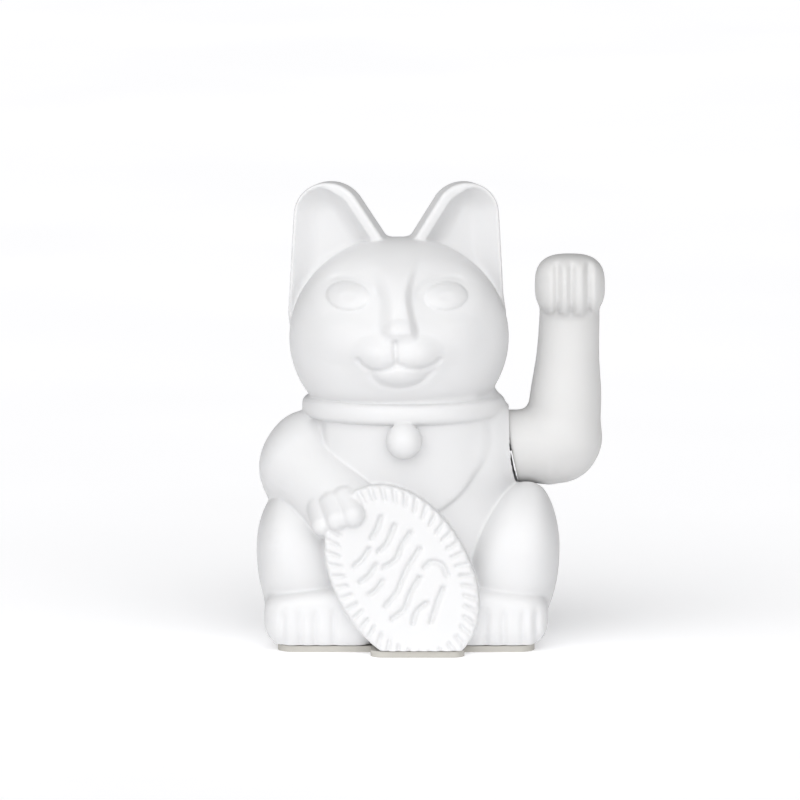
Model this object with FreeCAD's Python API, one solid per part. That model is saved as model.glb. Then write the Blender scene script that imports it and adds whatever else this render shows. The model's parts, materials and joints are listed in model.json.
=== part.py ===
"""Beckoning cat figurine: a hollow moulded cat whose left arm is rocked by a magnet pendulum.

Frame: +Z up, the cat faces -Y, the viewer's right is +X. The origin is on the standing face of the
base plate, in the cat's middle plane. Millimetres.

The body is two thin shells, front and rear, that meet on a parting plane and are screwed to a base
plate. The arm is two shells on a hub, pressed on a steel axle. The axle turns in a bracket inside the
rear shell, and carries a pendulum with a weight and a magnet that hangs over a coil on the base.
"""

import FreeCAD
import Part

import math
import os

from FreeCAD import Vector

# Driving dimensions
WALL = 2.0  # body shells
ARM_WALL = 1.8  # arm shells
PLATE_T = 2.0  # base plate, and the height of the shells' lower edge
PARTING_Y = 0.0  # where front and rear shells meet

HEAD_X = -2.3
HEAD_Z = 99.0
HEAD_SEMI = (35.8, 30.0, 32.8)
EAR_TOP_Z = 150.0
COLLAR_Z = 78.3
COLLAR_SEMI = (30.6, 27.0)  # centreline of the collar in plan
COLLAR_R = 3.0

FOOT_ROUND = 9.0  # edge radius of the feet

COIN_CENTRE = (-1.4, -35.5, 25.9)
COIN_SEMI = (21.7, 31.3)
COIN_T = 12.0
COIN_BEVEL = 1.2
COIN_TILT = 31.0  # about the depth axis, top towards -X
COIN_LEAN = 6.0  # top leans back towards the chest

# The beckoning arm and its axle
PIVOT = Vector(0, 0, 62.7)  # the axle lies along X through this point
ARM_R = 12.0
BEND_X = 39.5  # where the shoulder tube starts to bend up
BEND_R = 12.3  # centreline radius of the elbow
CUT_X = 34.4  # where the arm's cut face crosses the axle line
CUT_TILT = 12.0  # of the cut face from vertical
END_WALL = 2.5
AXLE_R = 1.5
AXLE_HOLE_R = 2.8  # in the cat's side
RUNNING_CLEARANCE = 0.05

# The pendulum
PEND_X = 16.0
PEND_HUB_R = 5.0
PEND_HUB_L = 10.8
MAGNET_R = 6.0
MAGNET_T = 4.0
MAGNET_Z = 12.6  # lower face of the magnet
WEIGHT_SIZE = (14.0, 16.0, 7.0)

# The battery bay
BAY_X = -11.0
CELL_R = 7.2
CELL_L = 49.5
BAY_IN = (15.2, 55.5)  # inside width and length
BAY_Y0 = -27.5  # inner face of the bay's front end
BAY_Y1 = BAY_Y0 + BAY_IN[1]
BAY_WALL = 1.5
BAY_ROOF_Z = 17.0
TAB_X = BAY_X + 4.5  # the contacts' solder tabs
TAB_Z = (12.6, 13.0)
DOOR_T = 1.5
DOOR_Z = 0.3  # lower face of the battery door
DOOR_HALF = 9.6  # half-width of the flange that runs in the plate's grooves
DOOR_LIP = 8.4  # half-width of the face below it
DOOR_FLANGE_T = 0.7
SLIDE_GAP = 0.15

# The base plate's outline: an oval, a lobe under each foot and one under the coin
PLATE_OVAL = (41.4, 33.2)
PLATE_OVAL_Y = 1.0
FOOT_LOBE = (5.0, 41.7, -32.2)  # inner x, outer x, front y
COIN_LOBE = (-11.5, 18.8, -42.4)  # low x, high x, front y

# The circuit board and coil
BOARD = (30.0, 32.0, 1.6)
BOARD_X = 17.0
BOARD_Z = 5.0
COIL_TOP_Z = 10.8
COIL_FLANGE_R = 9.0
COIL_CORE_R = 3.2
COIL_FLANGE_T = 0.8

TRANSISTOR_XY = (4.7, -9.5)
CAPACITOR_XY = (4.9, 9.0)
RESISTOR_X = 4.5
LEAD_X = BOARD_X - 13.0  # where both leads meet the board
LEAD_R = 0.55

# Fasteners
SCREW_SHANK_R = 1.1
SCREW_HEAD_R = 2.3
SCREW_HEAD_T = 1.3
HOLE_GAP = 0.2  # round a shank that passes through
BASE_SCREWS = [(-33.0, -23.0), (33.0, -23.0), (-27.0, 20.5), (27.0, 20.5)]
BASE_SCREW_L = 8.0
BASE_SEAT_Z = 1.8  # where the base screws' heads bear, inside the plate
BASE_BOSS_R = 3.6
BASE_BOSS_TOP = 14.0
BASE_BOSS_FOOT = 3.6
BOARD_SCREWS = [(29.0, -13.0), (29.0, 13.0)]
BOARD_SCREW_L = 4.5
BRACKET_SCREW_L = 6.0

# The axle's bracket
BRACKET_Y = 13.0  # front face of the back plate
BRACKET_T = 2.4
BRACKET_Z = (PIVOT.z - 11.5, PIVOT.z + 10.8)
BRACKET_SCREW_Z = (PIVOT.z - 8.0, PIVOT.z + 7.5)

X_AXIS = Vector(1, 0, 0)
Y_AXIS = Vector(0, 1, 0)
Z_AXIS = Vector(0, 0, 1)
FAR = 400.0

os.makedirs("parts", exist_ok=True)


# --- Building blocks ---------------------------------------------------------------------------


def box(x0, x1, y0, y1, z0, z1):
    """A box between two corners."""
    return Part.makeBox(x1 - x0, y1 - y0, z1 - z0, Vector(x0, y0, z0))


def rod(radius, start, end):
    """A cylinder between two points."""
    start, end = Vector(*start), Vector(*end)
    return Part.makeCylinder(radius, (end - start).Length, start, end - start)


def ellipsoid(centre, semi, inset=0.0, tilt=0.0, spin_x=0.0):
    """An ellipsoid, each half-axis shortened by inset, turned about Y by tilt and then about X."""
    matrix = FreeCAD.Matrix()
    matrix.scale(*[s - inset for s in semi])
    solid = Part.makeSphere(1.0).transformGeometry(matrix)
    solid.rotate(Vector(), Y_AXIS, tilt)
    solid.rotate(Vector(), X_AXIS, spin_x)
    solid.translate(Vector(*centre))
    return solid


def ellipse_wire(centre, semi_x, semi_y):
    """A horizontal ellipse about a point."""
    wide = semi_x >= semi_y
    ellipse = Part.Ellipse(Vector(), max(semi_x, semi_y), min(semi_x, semi_y))
    wire = Part.Wire([ellipse.toShape()])
    if not wide:
        wire.rotate(Vector(), Z_AXIS, 90)
    wire.translate(Vector(*centre))
    return wire


def stack(sections, inset=0.0):
    """A smooth solid through horizontal ellipses given as (z, x, y, half-width, half-depth)."""
    wires = [
        ellipse_wire((x, y, z), a - inset, b - inset) for z, x, y, a, b in sections
    ]
    return Part.makeLoft(wires, True, False)


def union(solids):
    """One solid from several that overlap, fused one after another."""
    whole = solids[0]
    for solid in solids[1:]:
        whole = whole.fuse(solid)
    return whole


def checked(name, shape, solids=1):
    """Writes one node's STEP file after checking that it is the closed solids it should be."""
    assert shape.isValid(), name
    assert len(shape.Solids) == solids, (name, len(shape.Solids))
    assert all(s.isClosed() for s in shape.Solids), name
    shape.exportStep(f"parts/{name}.step")
    box_mm = shape.BoundBox
    size = " x ".join(
        f"{v:.1f}" for v in (box_mm.XLength, box_mm.YLength, box_mm.ZLength)
    )
    print(f"{name}: {size} mm, {shape.Volume / 1000:.2f} cm3")
    return shape


def group(name, solids):
    """Several separate solids in one node."""
    return checked(name, Part.makeCompound(solids), len(solids))


# --- The cat's outer form ----------------------------------------------------------------------

TORSO = [  # z, x, y, half-width, half-depth
    (-2.0, 0.0, 1.0, 41.0, 33.5),
    (6.0, 0.0, 1.5, 44.5, 36.5),
    (18.0, 0.0, 2.0, 45.0, 37.5),
    (34.0, 0.0, 2.5, 42.0, 36.5),
    (50.0, 0.0, 2.0, 36.4, 34.0),
    (63.0, 0.0, 1.0, 33.6, 31.0),
    (76.0, -0.8, 0.0, 30.6, 28.0),
    (88.0, -1.5, -1.0, 24.0, 22.0),
]


def torso(inset):
    return stack(TORSO, inset)


def head(inset):
    return ellipsoid((HEAD_X, -2.0, HEAD_Z), HEAD_SEMI, inset)


def ear(side, inset):
    """side is -1 for the ear at -X. The front is scooped out."""
    lean = side * 3.0
    semi = (16.0, 8.5, 28.0)
    centre = (HEAD_X + side * 19.8, 3.0, EAR_TOP_Z - semi[2])
    scoop_centre = (HEAD_X + side * 21.5, -8.5, EAR_TOP_Z - 24.0)
    outer = ellipsoid(centre, semi, inset, lean)
    scoop = ellipsoid(scoop_centre, (10.5, 7.0, 20.0), -inset, lean)
    return outer.cut(scoop)


def chest(inset):
    return ellipsoid((-1.0, -9.5, 63.0), (27.5, 24.0, 25.0), inset)


def thigh(side, inset):
    return ellipsoid((side * 33.5, -10.0, 31.0), (16.0, 23.0, 21.0), inset, side * 18.0)


def foot(side, inset):
    """A rounded block from beside the coin to the cat's flank. Its sides curve in at the bottom."""
    inner, outer = sorted((side * (8.0 + inset), side * (46.0 - inset)))
    block = box(inner, outer, -36.5 + inset, 8.0, inset / 2, 18.5 - inset)
    return block.makeFillet(FOOT_ROUND - inset, block.Edges)


def upper_arm(inset):
    return ellipsoid((-33.2, -3.0, 57.0), (14.2, 16.0, 18.0), inset, 8.0)


def forearm(inset):
    """A tapered bar from the elbow forward and down to the wrist, with round ends."""
    elbow, wrist = Vector(-37.0, -10.0, 57.0), Vector(-22.5, -30.5, 47.5)
    r0, r1 = 9.8 - inset, 7.8 - inset
    bar = Part.makeCone(r0, r1, (wrist - elbow).Length, elbow, wrist - elbow)
    return union([bar, Part.makeSphere(r0, elbow), Part.makeSphere(r1, wrist)])


def paw(inset):
    return ellipsoid((-18.8, -34.0, 45.5), (9.6, 7.0, 9.4), inset, -30.0)


def coin(inset):
    """A thick oval plate on edge, tilted and leaning on the belly, with a bevelled rim."""
    a, b = (s - inset for s in COIN_SEMI)
    outline = Part.Wire([Part.Ellipse(Vector(), b, a).toShape()])
    plate = Part.Face(outline).extrude(Vector(0, 0, COIN_T - inset))
    if inset == 0:
        front_rim = [e for e in plate.Edges if e.BoundBox.ZMin > COIN_T - 0.1]
        plate = plate.makeChamfer(COIN_BEVEL, front_rim)
    plate.rotate(Vector(), Z_AXIS, 90)  # long axis along Y, thickness along +Z
    plate.rotate(Vector(), X_AXIS, 90)  # long axis along Z, thickness along -Y
    plate.rotate(Vector(), Y_AXIS, -COIN_TILT)
    plate.rotate(Vector(), X_AXIS, -COIN_LEAN)
    plate.translate(Vector(*COIN_CENTRE) + Vector(0, COIN_T / 2, 0))
    return plate


def tail(inset):
    return ellipsoid((13.0, 34.0, 16.0), (12.0, 9.0, 10.0), inset, -20.0)


def collar():
    """A round-edged band. Its inside is filled, because the neck stands there."""
    sections = []
    for degrees in (-75, -45, 0, 45, 75):
        turn = math.radians(degrees)
        out, up = COLLAR_R * math.cos(turn), COLLAR_R * math.sin(turn)
        a, b = (s + out for s in COLLAR_SEMI)
        sections.append((COLLAR_Z + up, -0.8, -0.5, a, b))
    return stack(sections)


def bell():
    return Part.makeSphere(5.9, Vector(-0.7, -32.0, 70.3))


def cat(inset):
    """The whole form, or, with an inset, the hollow inside it."""
    forms = [torso(inset), head(inset), chest(inset), upper_arm(inset), forearm(inset)]
    forms += [paw(inset), coin(inset), tail(inset)]
    for side in (-1, 1):
        forms += [ear(side, inset), thigh(side, inset), foot(side, inset)]
    if inset == 0:
        forms += [collar(), bell()]
    whole = union(forms)
    bottom = PLATE_T if inset == 0 else PLATE_T - 1.0
    return whole.cut(box(-FAR, FAR, -FAR, FAR, -FAR, bottom))


# --- Body shells -------------------------------------------------------------------------------


def axle_line(radius, x0, x1):
    """A cylinder on the axle's line."""
    return rod(radius, (x0, PIVOT.y, PIVOT.z), (x1, PIVOT.y, PIVOT.z))


def shoulder_relief():
    """Clears the body away from the arm's shoulder through the arm's whole swing."""
    return axle_line(ARM_R + 1.0, CUT_X + 1.2, CUT_X + 40)


def base_boss(x, y, form):
    """A screw boss under a rib that ties it to the nearest wall."""
    boss = rod(BASE_BOSS_R, (x, y, BASE_BOSS_FOOT), (x, y, BASE_BOSS_TOP))
    out_x = math.copysign(FAR, x)
    rib = box(*sorted((x, out_x)), y - 1.0, y + 1.0, BASE_BOSS_FOOT, BASE_BOSS_TOP)
    return boss.fuse(rib.common(form))


def body_shells():
    form = cat(0.0)
    hollow = cat(WALL)
    shell = form.cut(hollow)
    shell = shell.cut(axle_line(AXLE_HOLE_R, PEND_X, FAR))
    shell = shell.cut(shoulder_relief())

    front_half = box(-FAR, FAR, -FAR, PARTING_Y, -FAR, FAR)
    rear_half = box(-FAR, FAR, PARTING_Y, FAR, -FAR, FAR)
    front, rear = shell.common(front_half), shell.common(rear_half)

    for x, y in BASE_SCREWS:
        boss = base_boss(x, y, form)
        hole = rod(SCREW_SHANK_R, (x, y, 0), (x, y, BASE_SEAT_Z + BASE_SCREW_L + 1))
        if y < PARTING_Y:
            front = front.fuse(boss).cut(hole)
        else:
            rear = rear.fuse(boss).cut(hole)
    for z in BRACKET_SCREW_Z:
        post = rod(3.2, (PEND_X, BRACKET_Y + BRACKET_T, z), (PEND_X, FAR, z)).common(form)
        hole_end = BRACKET_Y + BRACKET_SCREW_L + 1
        hole = rod(SCREW_SHANK_R, (PEND_X, BRACKET_Y, z), (PEND_X, hole_end, z))
        rear = rear.fuse(post).cut(hole)
    return largest(front), largest(rear)


def largest(shape):
    """The biggest solid of a shape, which drops slivers that a boolean leaves."""
    return max(shape.Solids, key=lambda s: s.Volume)


# --- Base --------------------------------------------------------------------------------------


def lobe(x0, x1, y0, corner_r):
    """A round-cornered stretch of the plate, from its front edge back to the middle."""
    block = box(x0, x1, y0, 0.0, 0.0, PLATE_T)
    return block.makeFillet(corner_r, upright_edges(block))


def upright_edges(solid):
    """The edges that run along Z for most of the solid's height."""
    height = solid.BoundBox.ZLength
    return [e for e in solid.Edges if e.BoundBox.ZLength > height / 2]


def battery_tub():
    """The bay's outside: a box whose upper edges are chamfered."""
    out = BAY_IN[0] / 2 + BAY_WALL
    y0, y1 = BAY_Y0 - BAY_WALL, BAY_Y1 + BAY_WALL
    tub = box(BAY_X - out, BAY_X + out, y0, y1, PLATE_T / 2, BAY_ROOF_Z + BAY_WALL)
    tub = tub.makeFillet(1.4, upright_edges(tub))
    top = [e for e in tub.Edges if e.BoundBox.ZMin > BAY_ROOF_Z]
    return tub.makeChamfer(0.9, top)


def base_plate():
    """The floor of the cat, with the battery bay, board posts and screw pads standing on it."""
    oval = ellipse_wire((0, PLATE_OVAL_Y, 0), *PLATE_OVAL)
    forms = [Part.Face(oval).extrude(Vector(0, 0, PLATE_T)), battery_tub()]
    inner, outer, front = FOOT_LOBE
    forms.append(lobe(-outer, -inner, front, 6.0))
    forms.append(lobe(inner, outer, front, 6.0))
    forms.append(lobe(*COIN_LOBE, 4.0))
    for x, y in BASE_SCREWS:
        forms.append(rod(BASE_BOSS_R, (x, y, PLATE_T / 2), (x, y, BASE_BOSS_FOOT)))
    for x, y in BOARD_SCREWS:
        forms.append(rod(2.6, (x, y, PLATE_T / 2), (x, y, BOARD_Z)))
    ledge_x = BOARD_X - BOARD[0] / 2
    forms.append(box(ledge_x + 1, ledge_x + 3, -12, 12, PLATE_T / 2, BOARD_Z))
    plate = union(forms)

    half = BAY_IN[0] / 2
    plate = plate.cut(box(BAY_X - half, BAY_X + half, BAY_Y0, BAY_Y1, -1, BAY_ROOF_Z))
    plate = plate.cut(door_prism(SLIDE_GAP, FAR))
    for x, y in BASE_SCREWS:
        plate = plate.cut(rod(SCREW_HEAD_R + 0.4, (x, y, -1), (x, y, BASE_SEAT_Z)))
        plate = plate.cut(rod(SCREW_SHANK_R + HOLE_GAP, (x, y, 0), (x, y, BASE_BOSS_TOP)))
    for x, y in BOARD_SCREWS:
        plate = plate.cut(rod(SCREW_SHANK_R, (x, y, PLATE_T / 2), (x, y, BOARD_Z + 1)))
    slot_z = (TAB_Z[0] - 0.6, TAB_Z[1] + 1.0)
    for y0 in (BAY_Y0 - BAY_WALL - 1, BAY_Y1 - 1):
        plate = plate.cut(box(TAB_X - 1, TAB_X + 1, y0, y0 + BAY_WALL + 2, *slot_z))
    return plate


def door_prism(grow, y1):
    """The door's stepped section, run from its front end to y1 and grown by grow all round."""
    y0 = BAY_Y0 - 1.0 - grow
    flange_z = DOOR_Z + DOOR_T - DOOR_FLANGE_T
    lip, wide = DOOR_LIP + grow, DOOR_HALF + grow
    lip_z0 = -1.0 if grow else DOOR_Z
    low = box(BAY_X - lip, BAY_X + lip, y0, y1, lip_z0, flange_z + 0.1)
    top_z = flange_z + DOOR_FLANGE_T + grow
    return low.fuse(box(BAY_X - wide, BAY_X + wide, y0, y1, flange_z - grow, top_z))


def battery_door():
    """Slides out to the rear. Its end follows the plate's rim, and ridges give a finger grip."""
    rim = Part.Face(ellipse_wire((0, PLATE_OVAL_Y, 0), *PLATE_OVAL))
    rim = rim.extrude(Vector(0, 0, PLATE_T))
    rim = rim.fuse(box(-PLATE_OVAL[0], 0.0, -FAR, 0.0, 0.0, PLATE_T))
    door = door_prism(0.0, FAR).common(rim)
    cut_z = DOOR_Z + 0.4
    for k in range(5):
        y = 14.0 + 2.4 * k
        door = door.cut(box(BAY_X - 5, BAY_X + 5, y, y + 1.0, 0, cut_z))
    arrow_y, arrow_half = 8.0, 3.0
    tip = Vector(BAY_X, arrow_y + 3.5, 0)
    left, right = (Vector(BAY_X + s * arrow_half, arrow_y, 0) for s in (-1, 1))
    arrow = Part.Face(Part.makePolygon([tip, left, right, tip]))
    return door.cut(arrow.extrude(Vector(0, 0, cut_z)))


# --- Electrics ---------------------------------------------------------------------------------

CELL_Z = DOOR_Z + DOOR_T + 0.3 + CELL_R
CELL_Y0 = BAY_Y0 + 2.0  # the shoulder of the cell's nub end
NUB_L = 1.0
CONTACT_T = 0.4
TAB_OUT = 2.5


def battery_cell():
    """An AA cell with its nub towards the front of the cat."""
    can = rod(CELL_R, (BAY_X, CELL_Y0, CELL_Z), (BAY_X, CELL_Y0 + CELL_L, CELL_Z))
    can = can.makeFillet(0.6, can.Edges)
    nub = rod(2.7, (BAY_X, CELL_Y0 - NUB_L, CELL_Z), (BAY_X, CELL_Y0 + 0.5, CELL_Z))
    return can.fuse(nub)


def contact_plate(y0, tab_y0, tab_y1):
    """A sheet-metal plate on one end of the bay, with a tab out through the slot."""
    plate = box(BAY_X - 5, BAY_X + 5, y0, y0 + CONTACT_T, 4.5, 14.0)
    return plate.fuse(box(TAB_X - 0.8, TAB_X + 0.8, tab_y0, tab_y1, *TAB_Z))


def positive_contact():
    """The front plate, with a dimple that meets the cell's nub."""
    plate = contact_plate(BAY_Y0, BAY_Y0 - BAY_WALL - TAB_OUT, BAY_Y0 + 0.2)
    dimple = rod(3.2, (BAY_X, BAY_Y0 + 0.3, CELL_Z), (BAY_X, CELL_Y0 - NUB_L, CELL_Z))
    return plate.fuse(dimple)


def negative_contact():
    """The rear plate, with a coil spring that presses on the cell."""
    plate = contact_plate(BAY_Y1 - CONTACT_T, BAY_Y1 - 0.2, BAY_Y1 + BAY_WALL + TAB_OUT)
    wire_r, coil_r, turns = 0.4, 4.2, 2.5
    start_y = CELL_Y0 + CELL_L + wire_r + 0.05
    length = BAY_Y1 - CONTACT_T - start_y
    helix = Part.makeHelix(length / turns, length, coil_r)
    start = Vector(coil_r, 0, 0)
    section = Part.Wire([Part.Circle(start, Y_AXIS, wire_r).toShape()])
    spring = Part.Wire(helix).makePipeShell([section], True, True)
    spring.rotate(Vector(), X_AXIS, -90)
    spring.translate(Vector(BAY_X, start_y, CELL_Z))
    return plate.fuse(spring)


def board():
    x0, y0 = BOARD_X - BOARD[0] / 2, -BOARD[1] / 2
    plate = box(x0, x0 + BOARD[0], y0, y0 + BOARD[1], BOARD_Z, BOARD_Z + BOARD[2])
    plate = plate.makeFillet(1.5, upright_edges(plate))
    for x, y in BOARD_SCREWS:
        plate = plate.cut(rod(SCREW_SHANK_R + HOLE_GAP, (x, y, 0), (x, y, COIL_TOP_Z)))
    return plate


BOARD_TOP = BOARD_Z + BOARD[2]


def upright_rod(radius, x, y, z0, z1):
    return rod(radius, (x, y, z0), (x, y, z1))


def coil_bobbin():
    """A spool on the board, under the magnet."""
    low = upright_rod(COIL_FLANGE_R, PEND_X, 0, BOARD_TOP, BOARD_TOP + COIL_FLANGE_T)
    high = upright_rod(COIL_FLANGE_R, PEND_X, 0, COIL_TOP_Z - COIL_FLANGE_T, COIL_TOP_Z)
    core = upright_rod(COIL_CORE_R, PEND_X, 0, BOARD_TOP, COIL_TOP_Z)
    bore = upright_rod(COIL_CORE_R - 1.2, PEND_X, 0, 0, COIL_TOP_Z + 1)
    return union([low, high, core]).cut(bore)


def coil_winding():
    """The wound copper, ribbed where its outer turns lie side by side."""
    z0, z1 = BOARD_TOP + COIL_FLANGE_T, COIL_TOP_Z - COIL_FLANGE_T
    outer_r = COIL_FLANGE_R - 1.0
    winding = upright_rod(outer_r, PEND_X, 0, z0, z1)
    winding = winding.cut(upright_rod(COIL_CORE_R, PEND_X, 0, z0 - 1, z1 + 1))
    turns = 6
    pitch = (z1 - z0) / turns
    for k in range(1, turns):
        groove = Part.makeTorus(outer_r, 0.12, Vector(PEND_X, 0, z0 + k * pitch))
        winding = winding.cut(groove)
    return winding


def transistor():
    """A flat-sided three-legged package standing on the board."""
    x, y = TRANSISTOR_XY
    leg_top, top = BOARD_TOP + 2.0, BOARD_TOP + 6.5
    body = upright_rod(2.3, x, y, leg_top, top)
    body = body.cut(box(x + 1.4, x + 5, y - 5, y + 5, BOARD_TOP, top + 1))
    legs = []
    for leg_y in (y - 1.27, y, y + 1.27):
        span = (x - 0.2, x + 0.2, leg_y - 0.2, leg_y + 0.2)
        legs.append(box(*span, BOARD_TOP, leg_top + 0.5))
    return union([body, *legs])


def capacitor():
    """A small electrolytic can standing on the board."""
    x, y = CAPACITOR_XY
    top_z = BOARD_TOP + 6.0
    can = upright_rod(2.5, x, y, BOARD_TOP + 0.4, top_z)
    can = can.makeFillet(0.4, [e for e in can.Edges if e.BoundBox.ZMin > top_z - 0.1])
    legs = [upright_rod(0.25, x + d, y, BOARD_TOP, BOARD_TOP + 1) for d in (-1.0, 1.0)]
    return union([can, *legs])


def resistor():
    """An axial resistor lying on the board, its wires bent down at each end."""
    x, z = RESISTOR_X, BOARD_TOP + 1.1
    forms = [rod(0.9, (x, -3.0, z), (x, 3.0, z))]
    for side in (-1, 1):
        forms.append(rod(1.1, (x, side * 1.9, z), (x, side * 3.0, z)))
        forms.append(rod(0.25, (x, side * 2.9, z), (x, side * 4.5, z)))
        forms.append(upright_rod(0.25, x, side * 4.4, BOARD_TOP, z + 0.25))
    return union(forms)


def lead(points):
    """A wire along straight runs joined by arcs that touch them."""
    points = [Vector(*p) for p in points]
    edges, last = [], points[0]
    for before, corner, after in zip(points, points[1:], points[2:]):
        to_last = (before - corner).normalize()
        to_next = (after - corner).normalize()
        turn = math.pi - to_last.getAngle(to_next)
        reach = 0.45 * min((before - corner).Length, (after - corner).Length)
        bend_r = reach / math.tan(turn / 2)
        start, end = corner + to_last * reach, corner + to_next * reach
        inward = (to_last + to_next).normalize()
        middle = corner + inward * (bend_r / math.cos(turn / 2) - bend_r)
        edges.append(Part.LineSegment(last, start).toShape())
        edges.append(Part.Arc(start, middle, end).toShape())
        last = end
    edges.append(Part.LineSegment(last, points[-1]).toShape())
    path = Part.Wire(edges)
    section = Part.Wire([Part.Circle(points[0], points[1] - points[0], LEAD_R).toShape()])
    tube = path.makePipeShell([section], True, False)
    expected = math.pi * LEAD_R**2 * path.Length
    assert abs(tube.Volume / expected - 1) < 0.02, (tube.Volume, expected)
    return tube


def lead_route(tab_y, end_y):
    """Straight up off a contact's tab, over to the board and straight down onto it."""
    inward = math.copysign(1.0, end_y - tab_y)
    return [
        (TAB_X, tab_y, TAB_Z[1]),
        (TAB_X, tab_y, TAB_Z[1] + 5.0),
        (TAB_X + 6.5, tab_y + 6.0 * inward, TAB_Z[1] + 8.0),
        (LEAD_X, end_y, BOARD_TOP + 7.0),
        (LEAD_X, end_y, BOARD_TOP),
    ]


LEAD_POSITIVE = lead_route(BAY_Y0 - BAY_WALL - 1.8, -14.5)
LEAD_NEGATIVE = lead_route(BAY_Y1 + BAY_WALL + 1.6, 14.5)


# --- Fasteners ---------------------------------------------------------------------------------


def screw(seat, way, length):
    """A pan-head cross-recess screw, driven along way. The underside of its head is at seat."""
    seat, way = Vector(*seat), Vector(*way)
    top = seat - way * SCREW_HEAD_T
    head_solid = rod(SCREW_HEAD_R, seat, top)
    crown = [e for e in head_solid.Edges if (e.CenterOfMass - top).Length < 0.01]
    solid = head_solid.makeFillet(0.5, crown).fuse(rod(SCREW_SHANK_R, seat, seat + way * length))
    first = way.cross(Vector(0.3, 0.5, 0.8)).normalize()
    second = way.cross(first).normalize()
    arm, half_w, depth = 1.3, 0.25, 0.8
    for along, across in ((first, second), (second, first)):
        corner = top - along * arm - across * half_w - way * 0.1
        ends = [corner, corner + along * 2 * arm]
        ends += [p + across * 2 * half_w for p in reversed(ends)]
        slot = Part.Face(Part.makePolygon([*ends, corner]))
        solid = solid.cut(slot.extrude(way * depth))
    return solid


# --- The pendulum and the arm ------------------------------------------------------------------


EAR_R = 4.5  # of the bracket's ears round the axle
AXLE_X = (PEND_X - 9.5, CUT_X + 12.0)


def pivot_bracket():
    """A back plate screwed to the rear shell, with two ears that the axle turns in."""
    ear_t, gap = 2.4, PEND_HUB_L / 2 + 0.25
    x0, x1 = PEND_X - gap - ear_t, PEND_X + gap + ear_t
    y_back = BRACKET_Y + BRACKET_T
    back = box(x0, x1, BRACKET_Y, y_back, *BRACKET_Z)
    corners = [e for e in back.Edges if e.BoundBox.YLength > BRACKET_T / 2]
    back = back.makeFillet(2.5, corners)
    ears = []
    for left in (x0, x1 - ear_t):
        web = box(left, left + ear_t, 0, y_back - 1, PIVOT.z - EAR_R, PIVOT.z + EAR_R)
        ears += [web, axle_line(EAR_R, left, left + ear_t)]
    bracket = union([back, *ears])
    bracket = bracket.cut(axle_line(AXLE_R + RUNNING_CLEARANCE, 0, FAR))
    for z in BRACKET_SCREW_Z:
        ends = (PEND_X, BRACKET_Y - 1, z), (PEND_X, y_back + 1, z)
        bracket = bracket.cut(rod(SCREW_SHANK_R + HOLE_GAP, *ends))
    return bracket


def pivot_axle():
    """A steel pin with chamfered ends, from inside the bracket to the arm's hub."""
    pin = axle_line(AXLE_R, *AXLE_X)
    return pin.makeChamfer(0.3, [e for e in pin.Edges if e.BoundBox.XLength < 0.01])


CRADLE_TOP = MAGNET_Z + MAGNET_T + WEIGHT_SIZE[2] + 1.6


def pendulum():
    """Hub, flat stem and a cradle that holds the weight above the magnet."""
    hub = axle_line(PEND_HUB_R, PEND_X - PEND_HUB_L / 2, PEND_X + PEND_HUB_L / 2)
    stem = box(PEND_X - 1.8, PEND_X + 1.8, -3.2, 3.2, CRADLE_TOP - 1, PIVOT.z)
    rib = box(PEND_X - 3.4, PEND_X + 3.4, -0.9, 0.9, CRADLE_TOP - 1, PIVOT.z - 3)
    wx, wy, _ = WEIGHT_SIZE
    wall = 1.4
    cradle = box(
        PEND_X - wx / 2 - wall,
        PEND_X + wx / 2 + wall,
        -wy / 2 - wall,
        wy / 2 + wall,
        MAGNET_Z + 0.8,
        CRADLE_TOP,
    )
    cradle = cradle.makeFillet(2.0, upright_edges(cradle))
    solid = union([hub, stem, rib, cradle])
    solid = solid.cut(pendulum_weight())
    solid = solid.cut(pendulum_magnet())
    return solid.cut(axle_line(AXLE_R, 0, FAR))


def pendulum_weight():
    """A steel block, seated on the magnet."""
    wx, wy, wz = WEIGHT_SIZE
    z0 = MAGNET_Z + MAGNET_T
    block = box(PEND_X - wx / 2, PEND_X + wx / 2, -wy / 2, wy / 2, z0, z0 + wz)
    return block.makeFillet(1.0, upright_edges(block))


def pendulum_magnet():
    disc = rod(MAGNET_R, (PEND_X, 0, MAGNET_Z), (PEND_X, 0, MAGNET_Z + MAGNET_T))
    low = [e for e in disc.Edges if e.BoundBox.ZMax < MAGNET_Z + 0.1]
    return disc.makeChamfer(0.3, low)


FOREARM = [  # z, x, y, half-width, half-depth
    (PIVOT.z + BEND_R, BEND_X + BEND_R, 0.0, ARM_R, ARM_R),
    (PIVOT.z + 19.0, BEND_X + 12.6, 0.0, 11.4, 11.5),
    (PIVOT.z + 27.0, BEND_X + 13.3, 0.0, 10.6, 10.6),
    (PIVOT.z + 37.0, BEND_X + 13.8, 0.0, 9.8, 9.8),
    (PIVOT.z + 47.0, BEND_X + 13.8, -0.5, 9.6, 9.6),
]


ELBOW_CENTRE = (BEND_X + 10.2, 0.0, PIVOT.z + 2.0)
ELBOW_SEMI = (14.0, 12.6, 14.0)


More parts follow.
